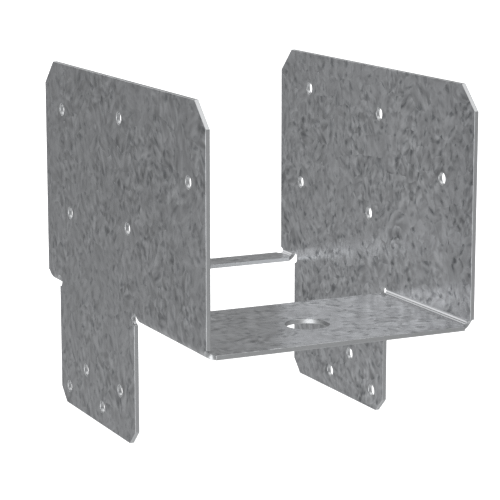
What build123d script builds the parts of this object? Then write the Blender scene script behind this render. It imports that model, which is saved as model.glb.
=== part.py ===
from build123d import *
import math
import os

# Column end cap: one sheet of galvanised steel, punched flat and folded up into a channel for the
# beam, with two legs that stay in the plane of the side plates and run down either side of the post.
# Millimetres. X runs across the channel, Y from its front edge to its back, Z up.
# The origin is on the ground under the middle of the cap, between the ends of the legs.

# Sheet and folds
sheet = 1.5
bend_radius = 1.5
neutral_share = 0.44

# Channel that holds the beam
channel_width = 90.5
plate_depth = 133.35
plate_height = 76.2
bar_depth = 10.61
corner_cut = 7.94

# Legs that hold the post
leg_width = 66.68
leg_drop = 42.86
leg_corner_cut = 4.76
shear_gap = 0.5

# Round reliefs at the ends of the folds
relief_margin = 0.29

# Hole through the seat
seat_hole_diameter = 14.29
seat_hole_setback = 24.8

# Nail holes through the plates, staggered so that nails from the two sides pass each other
nail_diameter = 4.5
plate_nail_edge = 15.8
plate_nail_top = 12.6
plate_nail_columns = 50.9
plate_nail_rows = 34.92
nail_stagger = 6.35
nail_rise = 3.18
front_nail_edge = 12.5
front_nail_top = 25.35

# Nail holes through the legs, in two rows
leg_nail_edge = 7.95
leg_nail_back_edge = 7.8
leg_nail_shift = 4.75
leg_nail_step = 15.9
leg_nail_bottom = 6.35
leg_nail_rows = 9.53

# Heights and places worked out from the sizes above
seat_top = leg_drop
seat_bottom = seat_top - sheet
bend_top = seat_top + bend_radius
plate_top = seat_top + plate_height
inner_face = channel_width / 2
bend_start = inner_face - bend_radius
front_edge = -plate_depth / 2
back_edge = plate_depth / 2
bar_front = back_edge - bar_depth
leg_back = bar_front - shear_gap
leg_front = leg_back - leg_width
seat_back = leg_front - shear_gap
leg_nail_pitch = leg_width - leg_nail_edge - leg_nail_shift - leg_nail_step - leg_nail_back_edge

# A fold uses up as much of the flat sheet as the arc at the depth that neither stretches nor shrinks
neutral_radius = bend_radius + neutral_share * sheet
bend_length = neutral_radius * math.pi / 2
relief_radius = bend_length / 2 + relief_margin
relief_places = [front_edge, leg_front, leg_back, back_edge]
relief_sections = 7

LEFT, RIGHT = 0, 1


def plate_nails(side):
    """Centres of the five nail holes of one plate, as Y and Z."""
    for column in range(2):
        for row in range(2):
            back = plate_nail_edge + column * plate_nail_columns + nail_stagger * (side ^ row)
            down = plate_nail_top + row * plate_nail_rows + nail_rise * ((1 - side) ^ column)
            yield back_edge - back, plate_top - down
    yield (
        front_edge + front_nail_edge + side * nail_stagger,
        plate_top - front_nail_top - side * nail_stagger,
    )


def leg_nails(side):
    """Centres of the four nail holes of one leg, as Y and Z."""
    first = leg_front + leg_nail_edge + (leg_nail_shift if side == LEFT else 0)
    for row in range(2):
        step = leg_nail_step * (side ^ row ^ 1)
        for place in range(2):
            yield first + step + place * leg_nail_pitch, leg_nail_bottom + row * leg_nail_rows


def side_outline():
    """The plate with its two cut upper corners, and the leg below it with its two cut lower ones."""
    plate = Pos(0, bend_top) * Rectangle(
        plate_depth, plate_top - bend_top, align=(Align.CENTER, Align.MIN)
    )
    plate = chamfer(plate.vertices().group_by(Axis.Y)[-1], corner_cut)
    leg = Pos(leg_front, 0) * Rectangle(leg_width, bend_top, align=(Align.MIN, Align.MIN))
    leg = chamfer(leg.vertices().group_by(Axis.Y)[0], leg_corner_cut)
    return plate + leg


def side_sheet(side):
    """One plate and its leg, which stay flat in one plane."""
    outline = side_outline()
    for y in relief_places:
        outline -= Pos(y, bend_top - bend_length / 2) * Circle(relief_radius)
    for y, z in [*plate_nails(side), *leg_nails(side)]:
        outline -= Pos(y, z) * Circle(nail_diameter / 2)
    face = inner_face if side == RIGHT else -inner_face - sheet
    return extrude(Plane.YZ.offset(face) * outline, sheet)


def floor_sheet(front, back):
    """A flat stretch of the floor between the two folds."""
    outline = Pos(0, (front + back) / 2) * Rectangle(2 * bend_start, back - front)
    for y in relief_places:
        for x in (-bend_start - bend_length / 2, bend_start + bend_length / 2):
            outline -= Pos(x, y) * Circle(relief_radius)
    return extrude(Plane.XY.offset(seat_bottom) * outline, sheet)


def relief_cutter(y):
    """A round hole of the flat sheet carried round the fold, so its wall stays square to the sheet."""
    sections = []
    for number in range(relief_sections):
        turn = math.pi / 2 * (number / (relief_sections - 1) - 0.5)
        half = math.sqrt(relief_radius**2 - (neutral_radius * turn) ** 2)
        radial = Vector(math.cos(turn - math.pi / 4), 0, math.sin(turn - math.pi / 4))
        plane = Plane((bend_start, y, bend_top), x_dir=radial, z_dir=radial.cross(Vector(0, 1, 0)))
        near = Pos(bend_radius / 2, 0)
        far = bend_radius + 2 * sheet
        sections.append(plane * near * Rectangle(far, 2 * half, align=(Align.MIN, Align.CENTER)))
    return loft(Sketch() + sections)


def fold(front, back):
    """The quarter-round stretch that joins the right plate to the floor."""
    ring = Circle(bend_radius + sheet) - Circle(bend_radius)
    quarter = ring & Rectangle(
        bend_radius + sheet, bend_radius + sheet, align=(Align.MIN, Align.MAX)
    )
    section = Plane((bend_start, front, bend_top), x_dir=(1, 0, 0), z_dir=(0, -1, 0)) * quarter
    strip = extrude(section, front - back)
    for y in relief_places:
        strip -= relief_cutter(y)
    return strip


def end_cap():
    """The whole folded sheet."""
    seat = floor_sheet(front_edge, seat_back)
    seat -= Pos(0, front_edge + seat_hole_setback, seat_top) * Cylinder(
        seat_hole_diameter / 2, 2 * sheet
    )
    bar = floor_sheet(bar_front, back_edge)
    folds = fold(front_edge, seat_back) + fold(bar_front, back_edge)
    folds += mirror(folds, Plane.YZ)
    return side_sheet(LEFT) + side_sheet(RIGHT) + seat + bar + folds


os.makedirs("parts", exist_ok=True)
cap = end_cap()
export_step(cap, "parts/end_cap.step")
print("end_cap", len(cap.solids()), "solid", round(cap.volume), "mm3")
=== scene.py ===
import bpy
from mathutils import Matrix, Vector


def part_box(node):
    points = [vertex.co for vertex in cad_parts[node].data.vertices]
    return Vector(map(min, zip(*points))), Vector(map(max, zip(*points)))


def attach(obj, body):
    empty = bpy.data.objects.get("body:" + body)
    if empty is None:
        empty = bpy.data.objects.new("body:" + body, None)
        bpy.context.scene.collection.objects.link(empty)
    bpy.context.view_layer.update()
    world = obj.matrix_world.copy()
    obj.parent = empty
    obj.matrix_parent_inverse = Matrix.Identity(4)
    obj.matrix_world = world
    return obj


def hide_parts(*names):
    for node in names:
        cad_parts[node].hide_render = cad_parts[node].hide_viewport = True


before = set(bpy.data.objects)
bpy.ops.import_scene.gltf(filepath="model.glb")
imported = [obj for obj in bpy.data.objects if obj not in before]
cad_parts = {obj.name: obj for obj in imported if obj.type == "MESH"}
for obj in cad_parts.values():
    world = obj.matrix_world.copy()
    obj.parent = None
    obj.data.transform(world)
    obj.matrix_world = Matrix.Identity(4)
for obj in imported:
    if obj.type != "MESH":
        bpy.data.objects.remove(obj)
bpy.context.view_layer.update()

import math

import bmesh
import bpy
from mathutils import Vector

bl_info = {
    "name": "Column end cap",
    "version": (1, 0, 0),
    "blender": (4, 5, 0),
    "location": "3D View > Sidebar > End cap",
    "description": "Finishes a folded sheet-steel column end cap and sets up its studio",
    "category": "Object",
}

NODE = "end_cap"
MM = 0.001

# Corners nearer than this are one corner, and triangles nearly in one plane are one face.
MERGE_GAP = 0.002 * MM
FLAT_ANGLE = math.radians(0.5)

# Edges sharper than the first are rolled over. Faces that meet flatter than the second look smooth.
SHARP_ANGLE = math.radians(40)
SMOOTH_ANGLE = math.radians(35)

# A face whose normal agrees less than this with the sheet's (as a cosine) is bare steel: a sheared edge, and
# close to a nail hole already the start of its rolled rim.
EDGE_COSINE = 0.5
RIM_COSINE = 0.98

# How far from a nail hole's centre its rim is bare, and other edges aren't rolled, as shares of its diameter.
RIM_REACH = 0.6
ROLL_REACH = 0.7

# The wall of a nail hole has more faces than this, and they look at the same spot to within this distance.
WALL_FACES = 8
SPOT_SIZE = 0.1 * MM

# How bright the studio's walls are, from behind the cap's right side (0) round to the camera's left (1). The
# plates mirror the dim stretch near 0.3, the front edges the one near 0.7 and the folds and rims the end.
WALL_GLOW = (
    (0.0, 0.375),
    (0.2, 0.3),
    (0.29, 0.31),
    (0.34, 0.46),
    (0.4, 0.52),
    (0.71, 0.39),
    (0.88, 0.65),
    (0.94, 1.3),
    (0.98, 2.4),
)

box_low, box_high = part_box(NODE)


def linear(hex_colour):
    """An sRGB hex colour as linear red, green and blue."""
    values = []
    for start in (1, 3, 5):
        share = int(hex_colour[start : start + 2], 16) / 255
        if share <= 0.04045:
            values.append(share / 12.92)
        else:
            values.append(((share + 0.055) / 1.055) ** 2.4)
    return tuple(values)


class EndCapSheet(bpy.types.PropertyGroup):
    """Sizes and finish of the folded sheet."""

    # The first four are the solid's own sizes. The faces of the sheet are told apart by them.
    thickness: bpy.props.FloatProperty(
        name="Sheet",
        description="Thickness of the sheet",
        default=1.5 * MM,
        unit="LENGTH",
    )
    bend_radius: bpy.props.FloatProperty(
        name="Bend radius",
        description="Inner radius of the folds",
        default=1.5 * MM,
        unit="LENGTH",
    )
    leg_drop: bpy.props.FloatProperty(
        name="Leg drop",
        description="Height of the seat's top face above the ends of the legs",
        default=42.86 * MM,
        unit="LENGTH",
    )
    nail_hole: bpy.props.FloatProperty(
        name="Nail hole",
        description="Diameter of a nail hole",
        default=4.5 * MM,
        unit="LENGTH",
    )
    edge_roll: bpy.props.FloatProperty(
        name="Edge roll",
        description="Rounding that the shear leaves along each edge",
        default=0.15 * MM,
        unit="LENGTH",
    )
    nail_bead: bpy.props.FloatProperty(
        name="Nail hole bead",
        description="Bead that closes a nail hole in from all sides",
        default=0.25 * MM,
        unit="LENGTH",
    )
    nail_roll: bpy.props.FloatProperty(
        name="Nail hole roll",
        description="Rounding of the rims of a nail hole",
        default=0.25 * MM,
        unit="LENGTH",
    )
    zinc_colour: bpy.props.FloatVectorProperty(
        name="Zinc",
        description="Colour of the zinc coat",
        default=linear("#C1C2C4"),
        subtype="COLOR",
        size=3,
    )
    fleck_colour: bpy.props.FloatVectorProperty(
        name="Flecks",
        description="Colour of the dull flecks in the zinc",
        default=linear("#8C8E91"),
        subtype="COLOR",
        size=3,
    )
    edge_colour: bpy.props.FloatVectorProperty(
        name="Sheared edge",
        description="Colour of the sheared edges",
        default=linear("#C0C1C2"),
        subtype="COLOR",
        size=3,
    )
    # Lighter than the sheared edges: a painted highlight on the rolled rims of the nail holes.
    rim_colour_with_highlight: bpy.props.FloatVectorProperty(
        name="Punched rim",
        description="Colour of the rims of the nail holes",
        default=linear("#CCCDCE"),
        subtype="COLOR",
        size=3,
    )
    pattern_place: bpy.props.FloatVectorProperty(
        name="Pattern place",
        description="Which stretch of the zinc's pattern falls on the sheet",
        default=(-0.2, 0.13, -0.05),
        subtype="XYZ",
        unit="LENGTH",
        size=3,
    )
    crystal_size: bpy.props.FloatProperty(
        name="Crystals",
        description="Width of one zinc crystal",
        default=7.0 * MM,
        unit="LENGTH",
    )
    feather_size: bpy.props.FloatProperty(
        name="Feathers",
        description="Width of the light and dark feathers in a crystal",
        default=2.5 * MM,
        unit="LENGTH",
    )
    feather_draw: bpy.props.FloatProperty(
        name="Feather draw",
        description="How many times as long as wide a feather is",
        default=2.5,
    )
    feather_height: bpy.props.FloatProperty(
        name="Feather height",
        description="How far the feathers stand proud",
        default=0.1 * MM,
        unit="LENGTH",
    )
    fleck_size: bpy.props.FloatProperty(
        name="Fleck size",
        description="Width of one dull fleck",
        default=2.2 * MM,
        unit="LENGTH",
    )
    cloud_size: bpy.props.FloatProperty(
        name="Clouds",
        description="Width of the stretches in which the feathers stand out or fade",
        default=16.0 * MM,
        unit="LENGTH",
    )
    mark_size: bpy.props.FloatProperty(
        name="Shear marks",
        description="Width of the faint marks across a sheared edge",
        default=0.8 * MM,
        unit="LENGTH",
    )


class EndCapStage(bpy.types.PropertyGroup):
    """Floor, walls and camera."""

    floor_colour: bpy.props.FloatVectorProperty(
        name="Floor",
        description="Colour of the floor",
        default=linear("#F2F2F2"),
        subtype="COLOR",
        size=3,
    )
    wall_colour: bpy.props.FloatVectorProperty(
        name="Walls",
        description="Colour of the light from the studio's walls",
        default=linear("#FDFEFF"),
        subtype="COLOR",
        size=3,
    )
    camera_place: bpy.props.FloatVectorProperty(
        name="Camera place",
        description="Where the camera stands",
        default=(-0.29875, -0.61565, 0.19577),
        subtype="XYZ",
        unit="LENGTH",
        size=3,
    )
    camera_turn: bpy.props.FloatProperty(
        name="Camera turn",
        description="Camera's turn to the right of straight ahead",
        default=math.radians(25.892),
        subtype="ANGLE",
    )
    camera_dip: bpy.props.FloatProperty(
        name="Camera dip",
        description="Camera's tilt below level",
        default=math.radians(11.273),
        subtype="ANGLE",
    )
    lens: bpy.props.FloatProperty(
        name="Lens",
        description="Focal length in millimetres, for a frame 36 mm wide",
        default=150.33,
        unit="CAMERA",
    )


def deselect_all():
    """Leaves nothing selected, in object mode."""
    if bpy.context.object and bpy.context.object.mode != "OBJECT":
        bpy.ops.object.mode_set(mode="OBJECT")
    bpy.ops.object.select_all(action="DESELECT")


def add_node(tree, kind, links=None, **settings):
    """Adds a node, sets its properties, and sets or links its inputs."""
    added = tree.nodes.new(kind)
    for name, value in settings.items():
        setattr(added, name, value)
    for socket, value in (links or {}).items():
        if isinstance(value, bpy.types.NodeSocket):
            tree.links.new(value, added.inputs[socket])
        else:
            added.inputs[socket].default_value = value
    return added


def new_material(name):
    """A material with an empty tree, its output and a metal shader."""
    material = bpy.data.materials.new(name)
    material.use_nodes = True
    tree = material.node_tree
    tree.nodes.clear()
    shader = add_node(tree, "ShaderNodeBsdfPrincipled", {"Metallic": 1.0})
    add_node(tree, "ShaderNodeOutputMaterial", {"Surface": shader.outputs["BSDF"]})
    return material, tree, shader


def galvanised_zinc(sheet):
    """Steel drawn through molten zinc, which freezes on it in small crystals.

    Each crystal lies its own way and mirrors the room in feathers of lighter and darker grey. Dull flecks
    come through in clusters. Where the press has rubbed the coat, it is smooth, and a painted highlight makes
    it a little lighter.
    """
    border_bend = 0.6 * sheet.crystal_size
    crystal_contrast = 0.06
    faintest_feathers, strongest_feathers = 0.14, 0.34
    thinnest_cloud, thickest_cloud = 0.35, 0.65
    fleck_core, fleck_rim = 0.2, 0.44
    gathering = 0.07
    # Painted highlight: on the hollow side of a fold the zinc is shaded this much lighter.
    painted_fold_highlight = 1.12
    clear_roughness, fleck_roughness, rubbed_roughness = 0.21, 0.31, 0.12
    bump = 0.35

    material, tree, shader = new_material("galvanised_zinc")
    spot = add_node(tree, "ShaderNodeTexCoord").outputs["Object"]
    place = add_node(
        tree, "ShaderNodeMapping", {"Vector": spot, "Location": sheet.pattern_place}
    ).outputs["Vector"]

    # The crystals freeze with wavy borders, so the pattern that divides them is bent a little first.
    wander = add_node(
        tree, "ShaderNodeTexNoise", {"Vector": place, "Scale": 1 / sheet.crystal_size, "Detail": 1.0}
    )
    offset = add_node(
        tree,
        "ShaderNodeVectorMath",
        {0: wander.outputs["Color"], 1: (0.5, 0.5, 0.5)},
        operation="SUBTRACT",
    )
    bent = add_node(
        tree,
        "ShaderNodeVectorMath",
        {0: offset.outputs["Vector"], 1: (border_bend,) * 3, 2: place},
        operation="MULTIPLY_ADD",
    )
    crystals = add_node(
        tree,
        "ShaderNodeTexVoronoi",
        {"Vector": bent.outputs["Vector"], "Scale": 1 / sheet.crystal_size},
    )

    # Each crystal has a way of its own, and its feathers are drawn out along it.
    lean = add_node(
        tree,
        "ShaderNodeVectorMath",
        {0: crystals.outputs["Color"], 1: (0.5, 0.5, 0.5)},
        operation="SUBTRACT",
    )
    way = add_node(tree, "ShaderNodeVectorMath", {0: lean.outputs["Vector"]}, operation="NORMALIZE")
    along = add_node(
        tree, "ShaderNodeVectorMath", {0: place, 1: way.outputs["Vector"]}, operation="DOT_PRODUCT"
    )
    squeeze = add_node(
        tree,
        "ShaderNodeMath",
        {0: along.outputs["Value"], 1: 1 / sheet.feather_draw - 1},
        operation="MULTIPLY",
    )
    drawn = add_node(
        tree,
        "ShaderNodeVectorMath",
        {0: way.outputs["Vector"], 1: squeeze.outputs["Value"], 2: place},
        operation="MULTIPLY_ADD",
    )
    feathers = add_node(
        tree,
        "ShaderNodeTexNoise",
        {
            "Vector": drawn.outputs["Vector"],
            "Scale": 1 / sheet.feather_size,
            "Detail": 1.5,
            "Roughness": 0.45,
        },
    )

    # Where the clouds are thick the feathers stand out, and where they are thin they are nearly lost.
    clouds = add_node(
        tree, "ShaderNodeTexNoise", {"Vector": place, "Scale": 1 / sheet.cloud_size, "Detail": 1.0}
    )
    contrast = add_node(
        tree,
        "ShaderNodeMapRange",
        {
            "Value": clouds.outputs["Fac"],
            "From Min": thinnest_cloud,
            "From Max": thickest_cloud,
            "To Min": faintest_feathers,
            "To Max": strongest_feathers,
        },
    )
    darkest = add_node(
        tree, "ShaderNodeMath", {0: 1.0, 1: contrast.outputs["Result"]}, operation="SUBTRACT"
    )
    lightest = add_node(
        tree, "ShaderNodeMath", {0: 1.0, 1: contrast.outputs["Result"]}, operation="ADD"
    )
    feather_shade = add_node(
        tree,
        "ShaderNodeMapRange",
        {
            "Value": feathers.outputs["Fac"],
            "From Min": 0.3,
            "From Max": 0.7,
            "To Min": darkest.outputs["Value"],
            "To Max": lightest.outputs["Value"],
        },
    )
    own = add_node(tree, "ShaderNodeSeparateColor", {"Color": crystals.outputs["Color"]})
    crystal_shade = add_node(
        tree,
        "ShaderNodeMapRange",
        {
            "Value": own.outputs["Red"],
            "To Min": 1 - crystal_contrast,
            "To Max": 1 + crystal_contrast,
        },
    )
    frozen_shade = add_node(
        tree,
        "ShaderNodeMath",
        {0: feather_shade.outputs["Result"], 1: crystal_shade.outputs["Result"]},
        operation="MULTIPLY",
    )

    # On the hollow side of a fold the press has rubbed the pattern away. There the shade is set to a fixed
    # lighter value, which is a painted highlight along the fold.
    rubbed_and_highlit = add_node(tree, "ShaderNodeAttribute", attribute_name="rubbed_and_highlit").outputs["Fac"]
    kept = add_node(tree, "ShaderNodeMath", {0: 1.0, 1: rubbed_and_highlit}, operation="SUBTRACT")
    shade = add_node(
        tree,
        "ShaderNodeMix",
        {"Factor": rubbed_and_highlit, "A": frozen_shade.outputs["Value"], "B": painted_fold_highlight},
    )

    # The flecks lie the same way as the feathers, and there are more of them where the feathers stand out.
    specks = add_node(
        tree,
        "ShaderNodeTexNoise",
        {"Vector": drawn.outputs["Vector"], "Scale": 1 / sheet.fleck_size, "Detail": 1.0},
    )
    clusters = add_node(
        tree,
        "ShaderNodeMapRange",
        {
            "Value": clouds.outputs["Fac"],
            "From Min": thinnest_cloud,
            "From Max": thickest_cloud,
            "To Min": 0.0,
            "To Max": -gathering,
        },
    )
    gathered = add_node(
        tree,
        "ShaderNodeMath",
        {0: specks.outputs["Fac"], 1: clusters.outputs["Result"]},
        operation="ADD",
    )
    flecks = add_node(
        tree,
        "ShaderNodeMapRange",
        {
            "Value": gathered.outputs["Value"],
            "From Min": fleck_core,
            "From Max": fleck_rim,
            "To Min": 1.0,
            "To Max": 0.0,
        },
    )
    dull = add_node(
        tree,
        "ShaderNodeMath",
        {0: flecks.outputs["Result"], 1: kept.outputs["Value"]},
        operation="MULTIPLY",
    )
    zinc = add_node(
        tree,
        "ShaderNodeMix",
        {
            "Factor": dull.outputs["Value"],
            "A": (*sheet.zinc_colour, 1),
            "B": (*sheet.fleck_colour, 1),
        },
        data_type="RGBA",
    )
    colour = add_node(
        tree,
        "ShaderNodeVectorMath",
        {0: zinc.outputs["Result"], 1: shade.outputs["Result"]},
        operation="MULTIPLY",
    )
    tree.links.new(colour.outputs["Vector"], shader.inputs["Base Color"])

    # A fleck scatters the light more than the zinc round it, and rubbed zinc the least.
    frozen_roughness = add_node(
        tree,
        "ShaderNodeMapRange",
        {"Value": dull.outputs["Value"], "To Min": clear_roughness, "To Max": fleck_roughness},
    )
    roughness = add_node(
        tree,
        "ShaderNodeMix",
        {"Factor": rubbed_and_highlit, "A": frozen_roughness.outputs["Result"], "B": rubbed_roughness},
    )
    tree.links.new(roughness.outputs["Result"], shader.inputs["Roughness"])

    # The feathers also stand a little proud, which turns their mirror image one way and the other.
    lift = add_node(tree, "ShaderNodeMath", {0: kept.outputs["Value"], 1: bump}, operation="MULTIPLY")
    relief = add_node(
        tree,
        "ShaderNodeBump",
        {
            "Height": feathers.outputs["Fac"],
            "Distance": sheet.feather_height,
            "Strength": lift.outputs["Value"],
        },
    )
    tree.links.new(relief.outputs["Normal"], shader.inputs["Normal"])
    return material


def cut_steel(name, tint, mark_size):
    """Steel cut through by a shear or a punch: a clean band, a little matt, with faint marks of the tool.

    The real marks are finer than the render can show, so they are drawn coarser.
    """
    contrast = 0.1
    material, tree, shader = new_material(name)
    place = add_node(tree, "ShaderNodeTexCoord").outputs["Object"]
    marks = add_node(tree, "ShaderNodeTexNoise", {"Vector": place, "Scale": 1 / mark_size})
    colour = add_node(
        tree,
        "ShaderNodeMix",
        {
            "Factor": marks.outputs["Fac"],
            "A": (*[(1 - contrast) * share for share in tint], 1),
            "B": (*[(1 + contrast) * share for share in tint], 1),
        },
        data_type="RGBA",
    )
    tree.links.new(colour.outputs["Result"], shader.inputs["Base Color"])
    shader.inputs["Roughness"].default_value = 0.36
    return material


def past_bend(spot, sheet):
    """How far a spot lies past the axis of the nearer fold: outwards, and up."""
    outwards = abs(spot.x) - (box_high.x - sheet.thickness - sheet.bend_radius)
    upwards = spot.z - (sheet.leg_drop + sheet.bend_radius)
    return outwards, upwards


def square_to_sheet(spot, sheet):
    """The way the sheet's thickness runs at a spot: up in the floor, sideways in a plate or a leg."""
    outwards, upwards = past_bend(spot, sheet)
    # Farther down than the reliefs reach, only the leg is left.
    below_reliefs = -3 * sheet.thickness
    if outwards < 0:
        return Vector((0, 0, 1))
    if upwards > 0 or (outwards > sheet.bend_radius and upwards < below_reliefs):
        return Vector((1, 0, 0))
    return Vector((math.copysign(outwards, spot.x), 0, upwards)).normalized()


def lies_in_fold(spot, normal, sheet):
    """True for a face on the hollow side of a fold, which looks back at the fold's axis."""
    outwards, upwards = past_bend(spot, sheet)
    arm = Vector((math.copysign(outwards, spot.x), 0, upwards))
    return (
        outwards > 0 > upwards
        and arm.length < sheet.bend_radius + 0.1 * MM
        and arm.normalized().dot(normal) < -0.9
    )


def find_nail_holes(faces, sheet):
    """The centre of each nail hole, with the numbers of the edges round its wall.

    All the faces of one wall look at the same spot on the hole's axis.
    """
    looks_at = [
        (face, face.calc_center_median() + face.normal * sheet.nail_hole / 2)
        for face in faces
        if abs(face.normal.x) < 0.01
    ]
    holes = []
    for face, spot in looks_at:
        if sum((spot - other).length < SPOT_SIZE for _, other in looks_at) <= WALL_FACES:
            continue
        rim = [edge.index for edge in face.edges]
        for spots, edges in holes:
            if (spots[0] - spot).length < sheet.nail_hole / 2:
                spots.append(spot)
                edges.extend(rim)
                break
        else:
            holes.append(([spot], rim))
    if not holes:
        raise RuntimeError("the sheet has no nail holes of the given diameter")
    return [(sum(spots, Vector()) / len(spots), edges) for spots, edges in holes]


class ENDCAP_OT_sheet(bpy.types.Operator):
    """Rounds the sheared edges of the folded sheet and gives it its zinc"""

    bl_idname = "endcap.sheet"
    bl_label = "Finish the folded sheet"

    def execute(self, context):
        sheet = context.scene.end_cap_sheet
        piece = self.merged_copy()
        centres = self.draw_in_nail_holes(piece, sheet)
        self.round_edges(piece, sheet, centres)
        self.coat(piece, sheet, centres)
        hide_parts(NODE)
        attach(piece, "root")
        return {"FINISHED"}

    def merged_copy(self):
        """A copy of the solid, left in edit mode, with its loose triangles joined to whole faces."""
        deselect_all()
        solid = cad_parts[NODE]
        solid.select_set(True)
        bpy.context.view_layer.objects.active = solid
        bpy.ops.object.duplicate()
        piece = bpy.context.object
        piece.name = "folded_sheet"
        piece.data.name = "folded_sheet"
        piece.parent = None
        bpy.ops.mesh.customdata_custom_splitnormals_clear()
        bpy.ops.object.mode_set(mode="EDIT")
        bpy.ops.mesh.select_mode(type="EDGE")
        bpy.ops.mesh.select_all(action="SELECT")
        bpy.ops.mesh.remove_doubles(threshold=MERGE_GAP)
        bpy.ops.mesh.dissolve_limited(angle_limit=FLAT_ANGLE)
        return piece

    def draw_in_nail_holes(self, piece, sheet):
        """Closes every nail hole in by the bead that the punch leaves, and rolls its rims over."""
        holes = find_nail_holes(bmesh.from_edit_mesh(piece.data).faces, sheet)
        share = 1 - 2 * sheet.nail_bead / sheet.nail_hole
        for centre, edges in holes:
            bpy.ops.mesh.select_all(action="DESELECT")
            work = bmesh.from_edit_mesh(piece.data)
            work.edges.ensure_lookup_table()
            for index in edges:
                work.edges[index].select_set(True)
            bmesh.update_edit_mesh(piece.data)
            bpy.ops.transform.resize(value=(1, share, share), center_override=centre)

        bpy.ops.mesh.select_all(action="DESELECT")
        bpy.ops.mesh.edges_select_sharp(sharpness=SHARP_ANGLE)
        wall_edges = {index for _, edges in holes for index in edges}
        work = bmesh.from_edit_mesh(piece.data)
        for edge in work.edges:
            edge.select_set(edge.select and edge.index in wall_edges)
        bmesh.update_edit_mesh(piece.data)
        bpy.ops.mesh.bevel(offset=sheet.nail_roll, segments=4, affect="EDGES", clamp_overlap=False)
        return [centre for centre, _ in holes]

    def round_edges(self, piece, sheet, centres):
        """Rolls every other sharp edge over and shades the sheet smooth."""
        bpy.ops.mesh.select_all(action="DESELECT")
        bpy.ops.mesh.edges_select_sharp(sharpness=SHARP_ANGLE)
        work = bmesh.from_edit_mesh(piece.data)
        for edge in work.edges:
            middle = (edge.verts[0].co + edge.verts[1].co) / 2
            if any((middle - centre).length < ROLL_REACH * sheet.nail_hole for centre in centres):
                edge.select_set(False)
        bmesh.update_edit_mesh(piece.data)
        bpy.ops.mesh.bevel(
            offset=sheet.edge_roll,
            segments=3,
            affect="EDGES",
            clamp_overlap=False,
            miter_outer="ARC",
        )
        bpy.ops.object.mode_set(mode="OBJECT")
        # The rolled corners of the reliefs are kept behind the sheet's outer faces.
        for vertex in piece.data.vertices:
            vertex.co.x = min(max(vertex.co.x, box_low.x), box_high.x)
        bpy.ops.object.shade_smooth_by_angle(angle=SMOOTH_ANGLE)
        weigh = piece.modifiers.new("flat faces first", "WEIGHTED_NORMAL")
        weigh.keep_sharp = True
        bpy.ops.object.modifier_apply(modifier=weigh.name)

    def coat(self, piece, sheet, centres):
        """Gives the faces of the sheet their zinc, the cut edges their bare steel, and the rims bare steel
        painted lighter as a highlight. Faces on the hollow side of a fold get the flag for the rubbed zinc
        with its painted highlight.
        """
        piece.data.materials.clear()
        for material in (
            galvanised_zinc(sheet),
            cut_steel("sheared_steel", sheet.edge_colour, sheet.mark_size),
            # The rims' steel is painted lighter than the sheared edges, as a highlight.
            cut_steel("punched_steel_highlit", sheet.rim_colour_with_highlight, sheet.mark_size),
        ):
            piece.data.materials.append(material)
        zinc, sheared, punched_highlit_rim = range(3)
        rubbed_and_highlit = piece.data.attributes.new("rubbed_and_highlit", "FLOAT", "FACE")
        reach = RIM_REACH * sheet.nail_hole
        for face in piece.data.polygons:
            agrees = abs(face.normal.dot(square_to_sheet(face.center, sheet)))
            if any((face.center - centre).length < reach for centre in centres):
                face.material_index = punched_highlit_rim if agrees < RIM_COSINE else zinc
            else:
                face.material_index = sheared if agrees < EDGE_COSINE else zinc
            # Faces on the hollow side of a fold lose the pattern and get the painted highlight.
            rubbed_and_highlit.data[face.index].value = float(lies_in_fold(face.center, face.normal, sheet))


def soft_box(name, place, aim, width, height, power):
    """A rectangular soft light that faces a point and stays out of the picture itself."""
    bpy.ops.object.light_add(type="AREA", location=place)
    light = bpy.context.object
    light.name = name
    light.data.shape = "RECTANGLE"
    light.data.size = width
    light.data.size_y = height
    light.data.energy = power
    light.rotation_euler = (Vector(aim) - Vector(place)).to_track_quat("-Z", "Y").to_euler()
    light.visible_camera = False


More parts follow.
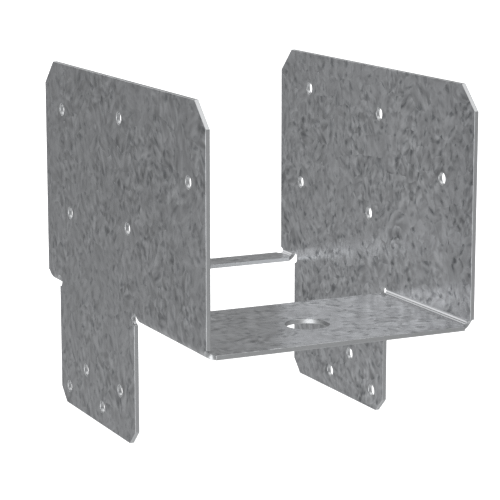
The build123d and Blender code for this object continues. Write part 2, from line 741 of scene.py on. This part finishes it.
class ENDCAP_OT_stage(bpy.types.Operator):
    """Adds the pale floor, the soft lights and the camera"""

    bl_idname = "endcap.stage"
    bl_label = "Set up the studio"

    def execute(self, context):
        stage = context.scene.end_cap_stage
        self.lay_floor(stage)
        self.hang_lights()
        self.light_walls(context.scene, stage)
        self.stand_camera(context.scene, stage)
        context.scene.view_settings.view_transform = "Standard"
        return {"FINISHED"}

    def lay_floor(self, stage):
        """A sheet of pale matt paper that glows evenly. The zinc doesn't mirror it."""
        deselect_all()
        bpy.ops.mesh.primitive_plane_add(size=12.0)
        floor = bpy.context.object
        floor.name = "floor"
        material = bpy.data.materials.new("pale_floor")
        material.use_nodes = True
        shader = material.node_tree.nodes["Principled BSDF"]
        shader.inputs["Base Color"].default_value = (*stage.floor_colour, 1)
        shader.inputs["Roughness"].default_value = 0.9
        shader.inputs["Emission Color"].default_value = (*stage.floor_colour, 1)
        shader.inputs["Emission Strength"].default_value = 1.0
        floor.data.materials.append(material)
        floor.visible_glossy = False

    def hang_lights(self):
        """One large soft light overhead and two behind, which the tops and the folds mirror."""
        middle = (0, 0, 0.06)
        soft_box("overhead light", (0.3, -0.1, 1.6), aim=middle, width=1.8, height=1.8, power=10)
        soft_box("back panel", (0.10, 1.75, 1.15), aim=middle, width=1.0, height=0.9, power=2.0)
        soft_box("back light", (-0.69, 1.36, 0.43), aim=middle, width=0.7, height=0.56, power=0.98)

    def light_walls(self, scene, stage):
        """Walls that glow by WALL_GLOW all the way round, above a table that throws light back up."""
        world = bpy.data.worlds.new("studio")
        scene.world = world
        world.use_nodes = True
        tree = world.node_tree
        background = tree.nodes["Background"]
        background.inputs["Color"].default_value = (*stage.wall_colour, 1)
        way = add_node(tree, "ShaderNodeTexCoord").outputs["Generated"]
        front_left = (-0.62, -0.78, 0)
        towards = add_node(
            tree, "ShaderNodeVectorMath", {0: way, 1: front_left}, operation="DOT_PRODUCT"
        )
        share = add_node(
            tree, "ShaderNodeMapRange", {"Value": towards.outputs["Value"], "From Min": -1.0}
        )
        walls = add_node(tree, "ShaderNodeValToRGB", {"Fac": share.outputs["Result"]})
        walls.color_ramp.elements.remove(walls.color_ramp.elements[1])
        for position, level in WALL_GLOW:
            stop = walls.color_ramp.elements.new(position)
            stop.color = (level, level, level, 1)

        # Below level the table shines up at the cap, more the steeper the cap looks down on it.
        height = add_node(tree, "ShaderNodeSeparateXYZ", {"Vector": way})
        table = add_node(
            tree,
            "ShaderNodeMapRange",
            {"Value": height.outputs["Z"], "From Min": -0.12, "From Max": -1.0, "To Max": 0.42},
        )
        both = add_node(
            tree,
            "ShaderNodeMath",
            {0: walls.outputs["Color"], 1: table.outputs["Result"]},
            operation="ADD",
        )

        # Past the floor's far edge the camera sees the same pale paper.
        seen = add_node(tree, "ShaderNodeLightPath").outputs["Is Camera Ray"]
        strength = add_node(
            tree, "ShaderNodeMix", {"Factor": seen, "A": both.outputs["Value"], "B": 1.0}
        )
        tree.links.new(strength.outputs["Result"], background.inputs["Strength"])

    def stand_camera(self, scene, stage):
        """The camera, level from side to side, at the photograph's viewing angle."""
        bpy.ops.object.camera_add(
            location=stage.camera_place,
            rotation=(math.pi / 2 - stage.camera_dip, 0, -stage.camera_turn),
        )
        camera = bpy.context.object
        camera.name = "camera"
        camera.data.lens = stage.lens
        camera.data.sensor_width = 36.0
        camera.data.clip_start = 10 * MM
        scene.camera = camera


class ENDCAP_PT_panel(bpy.types.Panel):
    """Lists the steps and their settings"""

    bl_idname = "ENDCAP_PT_panel"
    bl_label = "Column end cap"
    bl_space_type = "VIEW_3D"
    bl_region_type = "UI"
    bl_category = "End cap"

    def draw(self, context):
        for operator, settings in (
            (ENDCAP_OT_sheet, context.scene.end_cap_sheet),
            (ENDCAP_OT_stage, context.scene.end_cap_stage),
        ):
            column = self.layout.column(align=True)
            for name in settings.__annotations__:
                column.prop(settings, name)
            column.operator(operator.bl_idname)


CLASSES = (EndCapSheet, EndCapStage, ENDCAP_OT_sheet, ENDCAP_OT_stage, ENDCAP_PT_panel)


def register():
    for each in CLASSES:
        bpy.utils.register_class(each)
    bpy.types.Scene.end_cap_sheet = bpy.props.PointerProperty(type=EndCapSheet)
    bpy.types.Scene.end_cap_stage = bpy.props.PointerProperty(type=EndCapStage)


def unregister():
    del bpy.types.Scene.end_cap_stage
    del bpy.types.Scene.end_cap_sheet
    for each in reversed(CLASSES):
        bpy.utils.unregister_class(each)


def main():
    register()
    bpy.ops.endcap.sheet()
    bpy.ops.endcap.stage()


if __name__ == "__main__":
    main()
